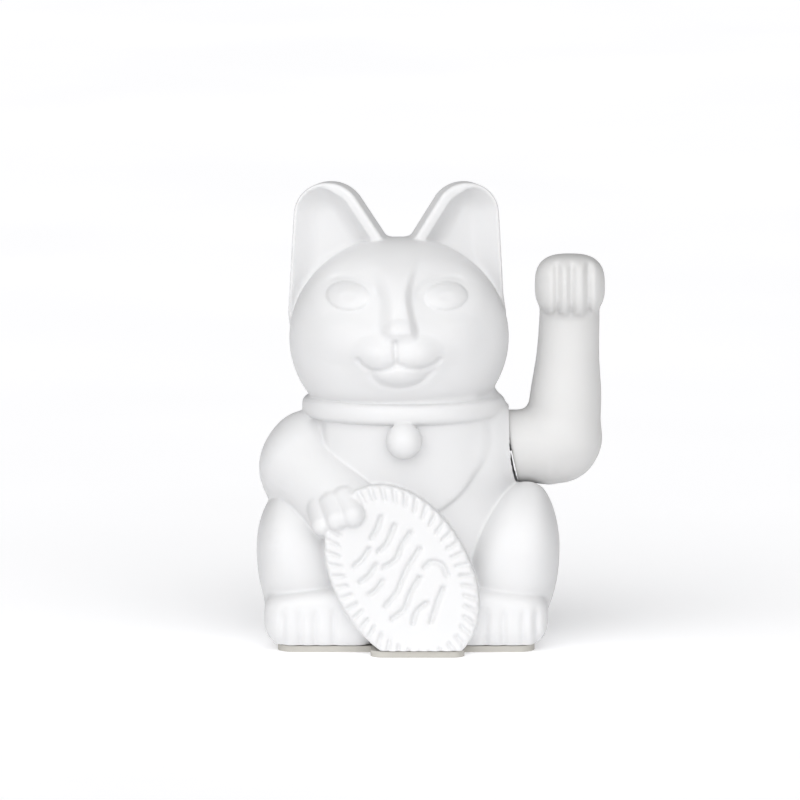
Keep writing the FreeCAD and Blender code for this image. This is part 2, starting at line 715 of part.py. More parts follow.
def arm_form(inset):
    """Shoulder tube along the axle, a quarter bend at the elbow, the forearm and the paw."""
    radius = ARM_R - inset
    shoulder = axle_line(radius, CUT_X - 12, BEND_X)
    centre = Vector(BEND_X, 0, PIVOT.z + BEND_R)
    section = Part.Face(
        Part.Wire([Part.Circle(Vector(BEND_X, 0, PIVOT.z), X_AXIS, radius).toShape()])
    )
    elbow = section.revolve(centre, Vector(0, -1, 0), 90)
    fist_semi = (11.6, 11.6, 9.8)
    fist = ellipsoid((BEND_X + 13.9, -3.4, PIVOT.z + 52.5), fist_semi, inset)
    knob = ellipsoid(ELBOW_CENTRE, ELBOW_SEMI, inset)
    arm = union([shoulder, elbow, knob, stack(FOREARM, inset), fist])
    return arm.cut(cut_slab(END_WALL if inset else 0.0))


def cut_slab(depth):
    """Everything on the body's side of the arm's cut face, moved depth into the arm."""
    slab = box(-FAR, 0, -FAR, FAR, -FAR, FAR)
    slab.rotate(Vector(), Y_AXIS, -CUT_TILT)
    shift = depth / math.cos(math.radians(CUT_TILT))
    slab.translate(Vector(CUT_X + shift, 0, PIVOT.z))
    return slab


HUB_R = 4.6
HUB_FLANGE_R = 7.5


def arm_hub():
    """A bushing through the arm's end wall, gripped between the arm's two shells."""
    flange_x = CUT_X + 7.0
    hub = axle_line(HUB_R, CUT_X - 3.0, flange_x + 7.0)
    flange = axle_line(HUB_FLANGE_R, flange_x, flange_x + 2.0)
    hub = hub.fuse(flange).cut(cut_slab(0.0))
    return hub.cut(axle_line(AXLE_R, 0, AXLE_X[1]))


def arm_shells():
    shell = arm_form(0.0).cut(arm_form(ARM_WALL))
    collar_x = (CUT_X + 1.0, CUT_X + 7.0)
    seat = axle_line(HUB_R + 2.0, *collar_x).cut(cut_slab(END_WALL / 2))
    shell = shell.fuse(seat)
    shell = shell.cut(axle_line(HUB_R, 0, collar_x[1] + 0.01))
    front = shell.common(box(-FAR, FAR, -FAR, 0, -FAR, FAR))
    rear = shell.common(box(-FAR, FAR, 0, FAR, -FAR, FAR))
    return largest(front), largest(rear)


# --- Write every node --------------------------------------------------------------------------


def main():
    front, rear = body_shells()
    checked("front_shell", front)
    checked("rear_shell", rear)
    checked("base_plate", base_plate())
    checked("battery_door", battery_door())
    checked("battery_cell", battery_cell())
    checked("positive_contact", positive_contact())
    checked("negative_contact", negative_contact())
    checked("circuit_board", board())
    checked("coil_bobbin", coil_bobbin())
    checked("coil_winding", coil_winding())
    checked("transistor", transistor())
    checked("capacitor", capacitor())
    checked("resistor", resistor())
    checked("lead_positive", lead(LEAD_POSITIVE))
    checked("lead_negative", lead(LEAD_NEGATIVE))
    checked("pivot_bracket", pivot_bracket())
    up, down, back = (0, 0, 1), (0, 0, -1), (0, 1, 0)
    base = [screw((x, y, BASE_SEAT_Z), up, BASE_SCREW_L) for x, y in BASE_SCREWS]
    group("base_screws", base)
    on_board = [screw((x, y, BOARD_TOP), down, BOARD_SCREW_L) for x, y in BOARD_SCREWS]
    group("board_screws", on_board)
    on_bracket = [
        screw((PEND_X, BRACKET_Y, z), back, BRACKET_SCREW_L) for z in BRACKET_SCREW_Z
    ]
    group("bracket_screws", on_bracket)
    checked("pivot_axle", pivot_axle())
    checked("pendulum_lever", pendulum())
    checked("pendulum_weight", pendulum_weight())
    checked("pendulum_magnet", pendulum_magnet())
    checked("arm_hub", arm_hub())
    arm_front, arm_rear = arm_shells()
    checked("arm_front_shell", arm_front)
    checked("arm_rear_shell", arm_rear)


main()
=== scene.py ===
"""The beckoning cat's looks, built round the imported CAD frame.

The four moulded shells are modelled here again with their full relief: each form is a distance field in
millimetres, blended with its neighbours, turned into a mesh and cut into the same shells as the frame's.
Everything else is the frame's own geometry with procedural materials.
"""

import json
import math
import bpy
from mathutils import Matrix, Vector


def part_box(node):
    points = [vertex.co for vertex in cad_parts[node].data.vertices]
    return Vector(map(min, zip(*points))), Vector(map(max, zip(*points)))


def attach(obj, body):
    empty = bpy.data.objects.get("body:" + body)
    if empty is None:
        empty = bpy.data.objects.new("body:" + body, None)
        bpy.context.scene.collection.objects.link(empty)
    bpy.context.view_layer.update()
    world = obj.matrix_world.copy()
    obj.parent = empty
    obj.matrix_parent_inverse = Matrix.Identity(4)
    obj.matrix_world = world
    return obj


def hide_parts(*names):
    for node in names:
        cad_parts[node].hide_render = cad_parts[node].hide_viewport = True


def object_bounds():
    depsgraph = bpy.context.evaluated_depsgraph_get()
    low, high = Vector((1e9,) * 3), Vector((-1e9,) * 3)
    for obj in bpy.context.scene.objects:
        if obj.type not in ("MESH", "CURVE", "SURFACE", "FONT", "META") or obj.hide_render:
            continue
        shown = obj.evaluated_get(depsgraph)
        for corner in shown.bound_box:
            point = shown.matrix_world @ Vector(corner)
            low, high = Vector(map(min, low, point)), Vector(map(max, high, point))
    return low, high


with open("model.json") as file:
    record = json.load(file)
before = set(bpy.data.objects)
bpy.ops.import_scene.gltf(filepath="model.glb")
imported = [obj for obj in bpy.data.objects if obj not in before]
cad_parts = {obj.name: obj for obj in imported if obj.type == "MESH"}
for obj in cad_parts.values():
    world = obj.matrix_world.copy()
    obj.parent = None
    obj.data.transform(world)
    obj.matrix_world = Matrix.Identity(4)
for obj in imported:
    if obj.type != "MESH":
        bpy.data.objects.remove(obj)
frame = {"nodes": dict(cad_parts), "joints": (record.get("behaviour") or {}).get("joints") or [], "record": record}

from concurrent.futures import ThreadPoolExecutor

import bmesh
import bpy
import numpy as np
import openvdb
from mathutils import Matrix, Vector

CAD_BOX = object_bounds()
MM = 0.001


def box_mm(node):
    """A CAD node's lowest and highest corner, in millimetres."""
    return [np.array(corner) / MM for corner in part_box(node)]


# Sizes from the frame
BODY_LOW, BODY_HIGH = box_mm("front_shell")
ARM_LOW, ARM_HIGH = box_mm("arm_front_shell")
SWING = next(j for j in frame["joints"] if j["name"] == "arm_swing")
AXLE_Z = SWING["pos_m"][2] / MM
SWING_LIMIT = math.radians(SWING["range_deg"][1])
FLOOR_EDGE_Z = BODY_LOW[2]  # the shells' lower edge, on the base plate
EAR_TOP_Z = BODY_HIGH[2]
AXLE_START_X = box_mm("pivot_axle")[0][0]
BRACKET_LOW, BRACKET_HIGH = box_mm("pivot_bracket")

# Driving dimensions, in millimetres
WALL = 2.0
ARM_WALL = 1.8
VOXEL = 0.5
HOLLOW_VOXEL = 1.6
SEAM_GAP = 0.02  # from the parting plane to each shell
SWING_GAP = 0.5  # between the body and the raised arm's end
REVEAL = 0.4  # between the shells' lower edge and the base plate
MIDDLE_X = -2.3  # of the head
FACE_X = -3.0
HEAD_CENTRE = (MIDDLE_X, -2.0, 99.0)
HEAD_SEMI = (35.8, 30.0, 32.8)
COLLAR_Z = 76.5
COIN_CENTRE = (-1.4, -35.5, 25.9)
COIN_SEMI = (21.7, 31.3)
COIN_T = 12.0
COIN_BACK = 13.0  # from its middle to where it runs into the body
COIN_TILT = 31.0
COIN_LEAN = 6.0
ARM_R = 12.0
ARM_X = 53.3  # the raised hand's middle
CUT_X = 34.4  # the arm's end face on the axle's line
CUT_SLOPE = math.tan(math.radians(12.0))
FAR = 400.0


# --- Distance fields ---------------------------------------------------------------------------


def length(*parts):
    return np.sqrt(sum(p * p for p in parts))


def blend(a, b, k):
    """Union of two fields, rounded over k millimetres where they meet."""
    k = np.maximum(k, 0.001)
    h = np.maximum(k - np.abs(a - b), 0.0)
    return np.minimum(a, b) - h * h / (4.0 * k)


def trim(a, b, k=0.0):
    """The part of a that is inside b as well, rounded over k millimetres."""
    return -blend(-a, -b, k)


def smooth_step(low, high, value):
    t = np.clip((value - low) / (high - low), 0.0, 1.0)
    return t * t * (3.0 - 2.0 * t)


def turned(p, centre, tilt=0.0, lean=0.0, yaw=0.0):
    """Points in a form's own axes. The form is turned about Y, then X, then Z, in degrees, at centre."""
    x, y, z = (v - c for v, c in zip(p, centre))
    if yaw:
        c, s = math.cos(math.radians(yaw)), math.sin(math.radians(yaw))
        x, y = x * c + y * s, y * c - x * s
    if lean:
        c, s = math.cos(math.radians(lean)), math.sin(math.radians(lean))
        y, z = y * c + z * s, z * c - y * s
    if tilt:
        c, s = math.cos(math.radians(tilt)), math.sin(math.radians(tilt))
        x, z = x * c - z * s, x * s + z * c
    return x, y, z


def oval(x, y, a, b):
    """Distance to an ellipse, near its outline. a and b may vary from point to point."""
    k0 = length(x / a, y / b)
    k1 = length(x / (a * a), y / (b * b))
    return k0 * (k0 - 1.0) / np.maximum(k1, 1e-6)


def ellipsoid(p, centre, semi, **turns):
    q = turned(p, centre, **turns)
    k0 = length(*(v / s for v, s in zip(q, semi)))
    k1 = length(*(v / (s * s) for v, s in zip(q, semi)))
    return k0 * (k0 - 1.0) / np.maximum(k1, 1e-6)


def bulge(q, semi, plan, rise):
    """An ellipsoid made squarer in plan and up its side. A power of 2 leaves it round."""
    u, v, w = (np.maximum(np.abs(c) / s, 1e-3) for c, s in zip(q, semi))
    level = (u**plan + v**plan) ** (1.0 / plan)
    k = (level**rise + w**rise) ** (1.0 / rise)
    across = length((u / level) ** (plan - 1.0) / semi[0], (v / level) ** (plan - 1.0) / semi[1])
    slope = length(across * (level / k) ** (rise - 1.0), (w / k) ** (rise - 1.0) / semi[2])
    return (k - 1.0) / slope


def block(p, centre, half, radius, **turns):
    """A box whose edges are rounded by radius."""
    q = [np.abs(v) - h + radius for v, h in zip(turned(p, centre, **turns), half)]
    outside = length(*(np.maximum(v, 0.0) for v in q))
    inside = np.minimum(np.maximum(np.maximum(q[0], q[1]), q[2]), 0.0)
    return outside + inside - radius


def limb(p, start, end, r0, r1):
    """A tapered bar with round ends."""
    axis = np.subtract(end, start)
    x, y, z = (v - c for v, c in zip(p, start))
    t = np.clip((x * axis[0] + y * axis[1] + z * axis[2]) / float(axis @ axis), 0.0, 1.0)
    radial = length(x - t * axis[0], y - t * axis[1], z - t * axis[2])
    return radial - (r0 + t * (r1 - r0))


def along(z, knots, column):
    """A smooth curve through one column of a table whose first column is z."""
    zs = np.array([k[0] for k in knots])
    values = np.array([k[column] for k in knots], float)
    slopes = np.gradient(values, zs)
    i = np.clip(np.searchsorted(zs, z) - 1, 0, len(zs) - 2)
    h = zs[i + 1] - zs[i]
    t = np.clip((z - zs[i]) / h, 0.0, 1.0)
    t2, t3 = t * t, t * t * t
    start = (2 * t3 - 3 * t2 + 1) * values[i] + (t3 - 2 * t2 + t) * h * slopes[i]
    return start + (3 * t2 - 2 * t3) * values[i + 1] + (t3 - t2) * h * slopes[i + 1]


def polygon(x, z, corners):
    """Distance to a flat outline, negative inside."""
    corners = np.array(corners, float)
    best = np.full(np.shape(x), np.inf)
    sign = np.ones(np.shape(x))
    for (ax, az), (bx, bz) in zip(corners, np.roll(corners, 1, axis=0)):
        ex, ez = bx - ax, bz - az
        wx, wz = x - ax, z - az
        t = np.clip((wx * ex + wz * ez) / (ex * ex + ez * ez), 0.0, 1.0)
        best = np.minimum(best, (wx - t * ex) ** 2 + (wz - t * ez) ** 2)
        below, above, left = z >= az, z < bz, ex * wz > ez * wx
        sign = np.where((below & above & left) | ~(below | above | left), -sign, sign)
    return sign * np.sqrt(best)


def curve_points(points, steps=8):
    """A smooth line through a few points."""
    points = np.array(points, float)
    padded = np.vstack([2 * points[0] - points[1], points, 2 * points[-1] - points[-2]])
    line = []
    for a, b, c, d in zip(padded, padded[1:], padded[2:], padded[3:]):
        square, cube = 2 * a - 5 * b + 4 * c - d, 3 * b - a - 3 * c + d
        for t in np.arange(steps) / steps:
            line.append(0.5 * (2 * b + (c - a) * t + square * t**2 + cube * t**3))
    return np.array(line + [points[-1]])


def near_line(x, z, points):
    """Flat distance to the smooth line through points."""
    line = curve_points(points)
    best = np.full(np.shape(x), np.inf)
    for (ax, az), (bx, bz) in zip(line, line[1:]):
        ex, ez = bx - ax, bz - az
        t = np.clip(((x - ax) * ex + (z - az) * ez) / (ex * ex + ez * ez), 0.0, 1.0)
        best = np.minimum(best, (x - ax - t * ex) ** 2 + (z - az - t * ez) ** 2)
    return np.sqrt(best)


def swell(x, z, centre, radii, height, power=1.5, tilt=0.0):
    """A soft-edged bump of that height on a face, in the face's plane."""
    c, s = math.cos(math.radians(tilt)), math.sin(math.radians(tilt))
    dx, dz = x - centre[0], z - centre[1]
    r2 = ((dx * c + dz * s) / radii[0]) ** 2 + ((dz * c - dx * s) / radii[1]) ** 2
    return height * np.maximum(1.0 - r2, 0.0) ** power


def line_dent(distance, width, depth):
    return -depth * np.exp(-((distance / width) ** 2))


# --- The face ----------------------------------------------------------------------------------

EYE_Z = 115.0
EYES = [(FACE_X - 15.8, 7.1, 4.3), (FACE_X + 15.9, 6.9, 4.2)]  # x, half-width, half-height
NOSE_BRIDGE = [  # z, how far it stands out, half-width, middle
    (103.0, 2.2, 5.4, -1.9),
    (107.0, 3.2, 5.0, -2.0),
    (111.0, 3.0, 4.4, -2.4),
    (116.0, 2.4, 4.2, -2.8),
    (121.0, 1.4, 5.4, -3.0),
    (126.0, 0.3, 7.5, -3.0),
    (129.0, 0.0, 9.0, -3.0),
]
NOSE_TIP = (-1.9, 104.6)


def face_relief(x, z):
    """How far the face stands out from the plain head."""
    relief = np.zeros_like(x)
    for side, (eye_x, half_w, half_h) in zip((-1, 1), EYES):
        relief += swell(x, z, (eye_x - side * 1.5, EYE_Z + 1.0), (15.0, 11.5), -2.3, 2.2)
        ring = (length((x - eye_x) / half_w, (z - EYE_Z) / half_h) - 1.0) * half_h
        relief += 2.1 * np.sqrt(np.clip(-ring / half_h * 1.6, 0.0, 1.0))
        upper = smooth_step(-1.0, 1.5, z - EYE_Z) * smooth_step(7.5, 3.0, side * (x - eye_x))
        relief += upper * line_dent(ring - 1.5, 0.8, 0.35)
        relief += swell(x, z, (eye_x + side * 1.0, 101.5), (13.0, 9.0), 1.3, 1.5)

    height, half_width, middle = (along(z, NOSE_BRIDGE, c) for c in (1, 2, 3))
    height = np.where(z > NOSE_BRIDGE[-1][0], 0.0, height) * smooth_step(100.8, 105.0, z)
    left = smooth_step(half_width + 2.6, half_width - 3.2, middle - x)
    right = smooth_step(half_width + 0.7, half_width - 2.2, x - middle)
    relief += height * left * right
    relief += swell(x, z, NOSE_TIP, (6.0, 4.4), 1.2, 1.0)

    relief += swell(x, z, (FACE_X, 97.0), (20.0, 14.0), 3.2, 1.8)
    for puff_x in (FACE_X - 6.6, FACE_X + 6.8):
        relief += swell(x, z, (puff_x, 97.2), (9.0, 7.0), 2.6, 1.8)
    relief += swell(x, z, (FACE_X + 0.4, 90.2), (8.6, 4.4), 2.0, 1.0)

    middle_low = (FACE_X - 0.2, 94.2)
    lines = [
        [(-15.4, 95.2), (-13.6, 93.3), (-10.8, 92.0), (-6.6, 92.5), middle_low],
        [middle_low, (1.0, 93.0), (5.4, 92.8), (8.8, 93.8), (10.8, 95.4)],
        [(-3.6, 101.2), (-3.4, 97.5), middle_low],
    ]
    nearest = np.min([near_line(x, z, line) for line in lines], axis=0)
    relief += line_dent(nearest, 0.85, 1.3)
    chin = [(-11.6, 90.6), (-8.6, 88.0), (-2.6, 86.3), (4.2, 87.8), (8.8, 91.6)]
    relief += line_dent(near_line(x, z, chin), 1.1, 0.8)
    return relief


def head(p):
    x, y, z = p
    field = ellipsoid(p, HEAD_CENTRE, HEAD_SEMI)
    on_face = (y < -9.0) & (z > 83.0) & (z < 131.0) & (np.abs(field) < 9.0)
    if on_face.any():
        fade = smooth_step(-9.0, -15.0, y[on_face])
        field[on_face] -= 0.86 * fade * face_relief(x[on_face], z[on_face])
    return field


# --- The body's forms --------------------------------------------------------------------------

TORSO = [  # z, half-width, depth to the front, depth to the back
    (-4.0, 40.5, 32.0, 32.0),
    (2.0, 42.8, 32.5, 34.6),
    (8.0, 44.6, 32.5, 36.0),
    (18.0, 45.0, 31.5, 37.0),
    (34.0, 42.0, 29.5, 36.0),
    (48.0, 37.0, 28.5, 33.0),
    (62.0, 34.0, 28.6, 29.5),
    (76.0, 31.0, 28.6, 27.0),
    (90.0, 25.0, 22.0, 22.0),
]
TORSO_Y = 1.5


def torso(p):
    x, y, z = p
    inside_z = np.clip(z, TORSO[0][0], TORSO[-1][0])
    half_width = along(inside_z, TORSO, 1)
    depth = np.where(y < TORSO_Y, along(inside_z, TORSO, 2), along(inside_z, TORSO, 3))
    return trim(oval(x, y - TORSO_Y, half_width, depth), z - TORSO[-1][0], 8.0)


EARS = [  # side, x of the tip's round, of the inner foot's, their radius, turn
    (-1, -24.4, -10.0, 11.2, -16.0),
    (1, 18.6, 5.0, 10.6, 16.0),
]
EAR_Y = 4.5
EAR_HALF_T = 5.2


def ear(p, side, tip_x, foot_x, radius, yaw):
    """A leaf with a rounded tip whose hollow front faces a little outward."""
    tip_z = EAR_TOP_Z + 1.2 - radius
    x, y, z = turned(p, (tip_x, EAR_Y, 0.0), yaw=yaw)
    foot_z = tip_z - 21.4
    corners = [(0, tip_z), (side * 1.8, 107), (-side * 3, 97), (foot_x - tip_x, foot_z)]
    outline = polygon(x * math.cos(math.radians(yaw)), z, corners) - radius
    rim = 0.8 + 2.2 * smooth_step(4.0, -4.0, x * side)
    scoop = np.sin(np.clip((-outline - rim) / 8.0, 0.0, 1.0) * math.pi / 2)
    slab = trim(outline, 5.6 * scoop - (y + EAR_HALF_T), 1.4)
    return trim(slab, y - EAR_HALF_T, 5.0)


THIGHS = {-1: (-33.6, 15.2, 23.6, 20.0), 1: (34.9, 15.2, 25.6, 22.2)}  # middle x, semi-axes
THIGH_Z = 30.2


def thigh(p, side):
    """Squarer in plan than an ellipse, and narrower and further out towards its top."""
    middle_x, half_width, depth, rise = THIGHS[side]
    x, y, z = (v - c for v, c in zip(p, (middle_x, -8.0, THIGH_Z)))
    x = (x - side * 0.2 * z) / np.clip(1.0 - 0.012 * z, 0.6, 1.4)
    return bulge((x, y, z), (half_width, depth, np.where(z > 0, rise, 32.0)), 2.7, 2.1)


TOE_GROOVES = {-1: (-23.4, -29.4, -34.2, -39.8), 1: (25.8, 31.5, 37.8, 42.0)}


def foot(p, side):
    x, y, z = p
    field = block(p, (side * 27.0, -14.3, 14.4), (19.0, 22.3, 14.0), 9.0)
    top = 19.2 - 0.14 * (np.abs(x) - 34.0) + 0.05 * (y + 36.0)
    field = trim(field, z - top, 5.0)
    front = smooth_step(-25.0, -31.0, y)
    reach = smooth_step(0.5, 4.5, z) * smooth_step(16.5, 11.0, z)
    for groove_x in TOE_GROOVES[side]:
        field = field + front * reach * 0.95 * np.exp(-(((x - groove_x) / 1.15) ** 2))
    return field


def lowered_arm(p):
    """The cat's right arm, which comes forward and down to the coin."""
    x, y, z = p
    sleeve = limb(p, (-34.6, -9.5, 57.5), (-15.5, -30.6, 41.9), 12.6, 12.0)
    sleeve = trim(sleeve, 0.73 * (x + 17.8) - 0.69 * (z - 43.9), 3.6)
    field = ellipsoid(p, (-33.2, -3.0, 57.0), (14.2, 16.0, 18.0), tilt=8.0)
    field = blend(field, sleeve, 4.0)
    fingers = [
        ((-19.8, -34.0, 50.0), (-17.2, -39.4, 46.2), 4.6, 4.0),
        ((-23.8, -33.5, 48.5), (-22.4, -39.0, 44.8), 4.4, 3.7),
        ((-27.6, -31.0, 46.5), (-27.0, -36.8, 42.6), 4.4, 3.6),
    ]
    for start, end, r0, r1 in fingers:
        field = blend(field, limb(p, start, end, r0, r1), 0.7)
    return field


NOTCHES = 42
COIN_RIM = 5.2
COIN_STROKES = [  # across and along the coin, from its middle
    [(-11.5, 10.6), (-8.0, 11.2), (-4.6, 12.9)],
    [(-12.5, 5.2), (-9.0, 5.6), (-5.4, 7.4)],
    [(-12.0, 0.2), (-9.4, 0.4), (-6.2, 1.8)],
    [(-2.0, 15.5), (1.0, 17.2), (4.0, 19.8)],
    [(-2.4, 10.6), (1.4, 11.6), (6.4, 15.2)],
    [(-3.6, 5.4), (1.0, 5.6), (5.0, 8.4), (9.6, 10.6)],
    [(-9.4, -5.6), (-4.0, -3.6), (2.0, 0.8), (9.4, 4.6)],
    [(-9.8, -10.2), (-5.0, -9.6), (0.0, -5.8), (4.6, -3.4)],
    [(-4.8, -14.8), (-1.6, -12.2), (2.4, -11.6)],
    [(0.4, -17.6), (4.6, -13.8), (9.4, -10.2)],
    [(7.6, -1.4), (10.6, -1.0), (13.0, -3.6), (12.6, -7.4)],
]


def coin_perimeter():
    """The share of the rim's length at each angle round it."""
    angles = np.linspace(-math.pi, math.pi, 721)
    x, y = COIN_SEMI[0] * np.cos(angles), COIN_SEMI[1] * np.sin(angles)
    run = np.concatenate([[0.0], np.cumsum(length(np.diff(x), np.diff(y)))])
    return angles, run / run[-1]


COIN_ANGLES, COIN_RUN = coin_perimeter()


def coin(p, plain=False):
    u, t, w = turned(p, COIN_CENTRE, tilt=-COIN_TILT, lean=-COIN_LEAN)
    a, b = COIN_SEMI
    outline = oval(u, w, a, b) - 0.35 * np.sin(2.0 * np.arctan2(w / b, u / a)) ** 2
    front = -t - COIN_T / 2
    if plain:
        return trim(trim(outline, front, 1.0), t - COIN_BACK, 1.0)
    near = (np.abs(front) < 4.0) & (outline < 3.0)
    if near.any():
        un, wn, on = u[near], w[near], outline[near]
        share = np.interp(np.arctan2(wn / b, un / a), COIN_ANGLES, COIN_RUN)
        phase = np.abs((share * NOTCHES) % 1.0 - 0.5) * 2.0
        band = smooth_step(-COIN_RIM - 0.6, -COIN_RIM + 0.8, on) * smooth_step(0.2, -1.2, on)
        dent = 1.0 * band * smooth_step(0.35, 0.95, phase)
        for stroke in COIN_STROKES:
            dent = dent - line_dent(near_line(un, wn, stroke), 0.85, 1.45)
        crown = 0.35 * smooth_step(-COIN_RIM, -14.0, on)
        front[near] += dent - crown
    face = trim(outline, front, 2.2)
    return trim(face, t - COIN_BACK, 1.0)


def bib(p):
    """The chest stands out from the body as a round bib under the collar."""
    x, y, z = p
    outline = oval(x + 0.6, z - 70.0, 26.4, 27.6)
    return trim(trim(torso(p) - 1.4, outline, 2.2), y, 2.0)


def collar(p):
    x, y, z = p
    middle_z = COLLAR_Z - 0.02 * y
    band = oval(x + 0.8, y + 0.5, 33.2, 31.6)
    return trim(band, np.abs(z - middle_z) - 3.3, 3.0)


def bell(p):
    x, y, z = (v - c for v, c in zip(p, (-0.7, -31.5, 69.0)))
    return length(x, y, z) - 5.9


TAIL = [(-7.0, -9.0), (2.0, -8.6), (9.0, -5.0), (12.4, 2.0), (10.6, 9.0), (4.6, 12.6)]
TAIL_R = 5.7


def tail(p):
    """Curled up against the back."""
    x, y, z = turned(p, (8.0, 35.0, 15.5), lean=-6.0)
    return length(near_line(x, z, TAIL), y) - TAIL_R


def stub(p):
    """The body's side, drawn out to meet the raised arm's end."""
    x, y, z = p
    return trim(length(y, z - AXLE_Z) - ARM_R + 0.1, 22.0 - x, 4.0)


def swing_room(p):
    """Space for the raised arm: beyond its end face at every angle that it swings to."""
    x, y, z = p
    up, side = z - AXLE_Z, np.abs(y)
    at_limit = up * math.cos(SWING_LIMIT) + side * math.sin(SWING_LIMIT)
    reach = np.where(side < up * math.tan(SWING_LIMIT), length(y, up), at_limit)
    face = CUT_X - SWING_GAP - CUT_SLOPE * reach
    return trim(face - x, length(y, up) - ARM_R - 1.3, 0.6)


def body(p):
    """The whole outside of the cat without its raised arm."""
    x, y, z = p
    trunk = blend(torso(p), bib(p), 0.5)
    side_panel = ellipsoid(p, (24.0, -1.0, 62.0), (13.5, 17.0, 17.5))
    trunk = blend(trunk, side_panel, 6.0)
    trunk = blend(trunk, stub(p), 4.0)
    skull = head(p)
    for shape in EARS:
        join = 0.8 + 4.0 * smooth_step(0.0, 9.0, y)
        skull = blend(skull, ear(p, *shape), join)
    whole = blend(trunk, skull, 1.5)
    whole = blend(whole, collar(p), 0.6)
    for side in (-1, 1):
        whole = blend(whole, thigh(p, side), 1.4)
        whole = blend(whole, foot(p, side), 1.0)
    whole = blend(whole, tail(p), 1.6)
    whole = blend(whole, lowered_arm(p), 0.9)
    whole = blend(whole, coin(p), 0.6)
    whole = blend(whole, bell(p), 0.4)
    return trim(whole, -swing_room(p), 0.4)


def body_hollow(p):
    """The room inside the shells: the main forms, each a wall's thickness smaller."""
    forms = [torso(p), ellipsoid(p, HEAD_CENTRE, HEAD_SEMI), lowered_arm(p), tail(p)]
    forms += [coin(p, plain=True)]
    for shape in EARS:
        forms += [ear(p, *shape), thigh(p, shape[0]), foot(p, shape[0])]
    room = forms[0]
    for form in forms[1:]:
        room = blend(room, form, 2.0)
    return room + WALL


# --- The raised arm ----------------------------------------------------------------------------

FOREARM = [  # z above the axle, middle x, half-width
    (-2.0, 51.5, 12.0),
    (8.0, 51.6, 12.0),
    (16.6, 52.1, 11.7),
    (30.0, 52.8, 10.3),
    (43.0, 53.3, 9.8),
    (52.0, 53.4, 9.7),
]
HAND_Z = AXLE_Z + 53.6
FINGER_GROOVES = (49.0, 53.6, 59.0)


def raised_arm(p, plain=False):
    x, y, z = p
    up = z - AXLE_Z
    tube = trim(length(y, up) - ARM_R, x - 48.0, 3.0)
    knob = ellipsoid(p, (49.6, 0.0, AXLE_Z + 1.9), (14.0, 12.5, 14.0))
    inside = np.clip(up, FOREARM[0][0], FOREARM[-1][0])
    middle, radius = along(inside, FOREARM, 1), along(inside, FOREARM, 2)
    bow = -0.5 * smooth_step(20.0, 50.0, up)
    forearm = length(x - middle, y - bow) - radius
    forearm = trim(trim(forearm, up - FOREARM[-1][0], 4.0), FOREARM[0][0] - up, 6.0)
    field = blend(blend(tube, knob, 3.0), forearm, 2.4)
    if plain:
        return blend(field, ellipsoid(p, (ARM_X, -3.2, HAND_Z), (11.5, 11.0, 9.9)), 3.0)
    q = (x - ARM_X, y + 4.2, z - HAND_Z)
    hand = bulge(q, (11.4, 12.2, 10.1), 2.6, 2.8)
    front = smooth_step(-3.0, -9.0, y)
    reach = smooth_step(-10.5, -7.0, q[2]) * smooth_step(9.6, 5.5, q[2])
    for groove_x in FINGER_GROOVES:
        hand = hand + front * reach * 1.7 * np.exp(-(((x - groove_x) / 1.25) ** 2))
    return blend(field, hand, 1.6)


def arm_end(p, depth=0.0):
    """Negative on the arm's side of its end face, moved depth into the arm."""
    x, _, z = p
    return (CUT_X + depth - CUT_SLOPE * (z - AXLE_Z) - x) * math.cos(math.atan(CUT_SLOPE))


def arm_outside(p):
    return trim(raised_arm(p), arm_end(p), 0.7)


def arm_hollow(p):
    return trim(raised_arm(p, plain=True) + ARM_WALL, arm_end(p, 2.5), 0.5)


# --- From a field to a mesh --------------------------------------------------------------------

BLOCK = 8  # voxels along the side of the blocks that are looked at first
CHUNK = 150_000


def sample(field, points):
    """field at many points, worked out in chunks on all cores."""
    parts = np.array_split(points, max(1, len(points) // CHUNK))
    with ThreadPoolExecutor(4) as pool:
        results = pool.map(lambda q: field(tuple(q[:, i].copy() for i in range(3))), parts)
        return np.concatenate(list(results))


def sculpt(field, low, high, voxel):
    """Points in millimetres and quads of the surface where field is zero, between two corners."""
    side = BLOCK * voxel
    counts = np.ceil((np.array(high) - low) / side).astype(int)
    cells = np.stack(np.meshgrid(*[np.arange(n) for n in counts], indexing="ij"), -1).reshape(-1, 3)
    centres = low + (cells + 0.5) * side
    rough = sample(field, centres)
    near = np.abs(rough) < side * 1.15 + 1.2
    inner = np.stack(np.meshgrid(*[np.arange(BLOCK)] * 3, indexing="ij"), -1).reshape(-1, 3)
    limit = 3.0 * voxel
    dense = np.where(rough < 0, -limit, limit).astype(np.float32).reshape(*counts, 1, 1, 1)
    dense = np.broadcast_to(dense, (*counts, BLOCK, BLOCK, BLOCK)).copy()
    points = (low + ((cells[near] * BLOCK)[:, None, :] + inner) * voxel).reshape(-1, 3)
    fine = np.clip(sample(field, points), -limit, limit).reshape(-1, BLOCK, BLOCK, BLOCK)
    index = cells[near]
    dense[index[:, 0], index[:, 1], index[:, 2]] = fine
    dense = dense.transpose(0, 3, 1, 4, 2, 5).reshape(*(counts * BLOCK))
    grid = openvdb.FloatGrid(limit)
    grid.copyFromArray(np.ascontiguousarray(dense))
    vertices, quads = grid.convertToQuads(0.0)
    return low + vertices * voxel, quads[:, ::-1]


